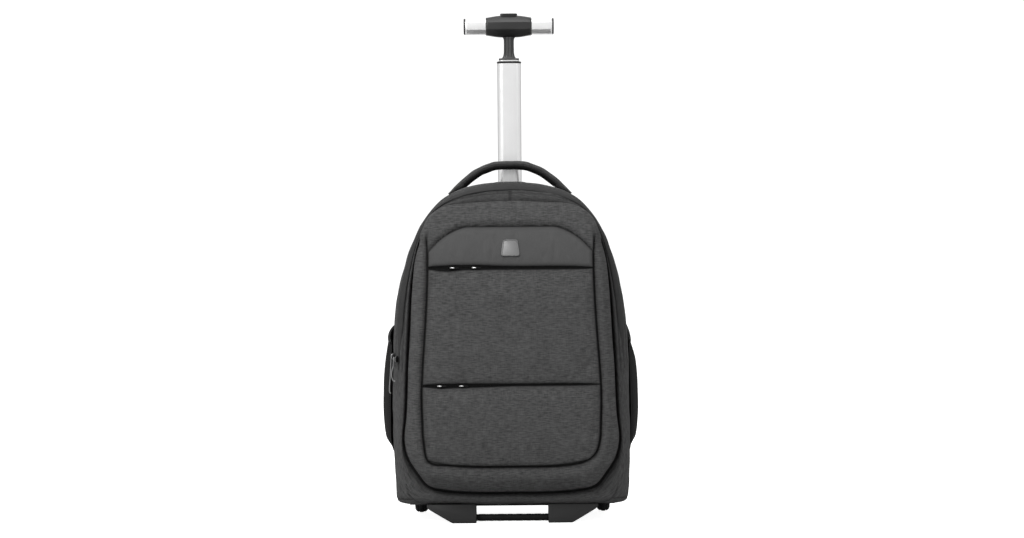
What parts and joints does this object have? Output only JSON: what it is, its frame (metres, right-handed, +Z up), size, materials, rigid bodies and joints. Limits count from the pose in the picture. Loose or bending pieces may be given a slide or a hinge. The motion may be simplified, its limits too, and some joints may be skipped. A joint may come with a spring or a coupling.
{
  "type": "wheeled backpack",
  "caption": "Arched soft backpack with front compartments, mesh side pockets, a carry handle, shoulder straps, rear wheels and a telescoping T-grip trolley.",
  "frame": {"origin": "on the floor, under the middle of the overall width and depth", "axes": "+Z up, -Y towards the front that the zipped pockets face, +X to the right seen from the front"},
  "size_m": [0.382, 0.2482, 0.7651],
  "materials": {
    "heather_cloth": "heathered woven polyester, matt",
    "smooth_cloth": "plain tight weave, matt",
    "mesh_cloth": "open knitted mesh",
    "webbing": "ribbed tape",
    "grey_plastic": "fine grained",
    "dark_plastic": "satin",
    "rubber": "matt tread",
    "silver_metal": "satin anodised",
    "gunmetal": "plated gunmetal"
  },
  "bodies": {
    "bag": {"adjuster_left": "dark_plastic", "adjuster_right": "dark_plastic", "axle_left": "gunmetal", "axle_right": "gunmetal", "back_panel": "smooth_cloth", "base_tray": "grey_plastic", "blank_badge": "silver_metal", "carry_handle": "heather_cloth", "foot_bar": "dark_plastic", "foot_left": "grey_plastic", "foot_right": "grey_plastic", "front_compartment": "heather_cloth", "main_compartment": "heather_cloth", "pocket_hem_left": "webbing", "pocket_hem_right": "webbing", "pocket_lower": "heather_cloth", "pocket_upper": "heather_cloth", "pull_main_front": "gunmetal", "pull_main_rear": "gunmetal", "shoulder_strap_left": "smooth_cloth", "shoulder_strap_right": "smooth_cloth", "side_pocket_left": "mesh_cloth", "side_pocket_right": "mesh_cloth", "slider_lower_1": "gunmetal", "slider_lower_2": "gunmetal", "slider_main_front": "gunmetal", "slider_main_rear": "gunmetal", "slider_upper_1": "gunmetal", "slider_upper_2": "gunmetal", "trolley_bezel": "grey_plastic", "trolley_housing": "grey_plastic", "webbing_left": "webbing", "webbing_right": "webbing", "wheel_housing_left": "grey_plastic", "wheel_housing_right": "grey_plastic", "yoke": "smooth_cloth", "zip_lower": "dark_plastic", "zip_main": "smooth_cloth", "zip_upper": "dark_plastic"},
    "trolley_lower": {"lower_tube": "silver_metal", "lower_collar": "dark_plastic"},
    "trolley_upper": {"upper_tube": "silver_metal", "neck": "grey_plastic", "grip_shell": "dark_plastic", "grip_sleeve_left": "silver_metal", "grip_sleeve_right": "silver_metal", "grip_cap_left": "dark_plastic", "grip_cap_right": "dark_plastic"},
    "button": {"grip_button": "dark_plastic"},
    "wheel_left": {"tyre_left": "rubber", "hub_left": "dark_plastic"},
    "wheel_right": {"tyre_right": "rubber", "hub_right": "dark_plastic"}
  },
  "joints": [
    {"name": "trolley_lower_slide", "type": "slide", "parent": "bag", "child": "trolley_lower", "axis": [0, 0, 1], "range_m": [-0.181, 0]},
    {"name": "trolley_upper_slide", "type": "slide", "parent": "trolley_lower", "child": "trolley_upper", "axis": [0, 0, 1], "range_m": [0, 0.19]},
    {"name": "grip_button_press", "type": "slide", "parent": "trolley_upper", "child": "button", "axis": [0, 0, -1], "range_m": [0, 0.003], "stiffness_N_per_m": 600},
    {"name": "wheel_left_spin", "type": "hinge", "parent": "bag", "child": "wheel_left", "pos_m": [-0.1394, 0.06167, 0.032], "axis": [1, 0, 0], "continuous": true},
    {"name": "wheel_right_spin", "type": "hinge", "parent": "bag", "child": "wheel_right", "pos_m": [0.1394, 0.06167, 0.032], "axis": [1, 0, 0], "continuous": true}
  ]
}
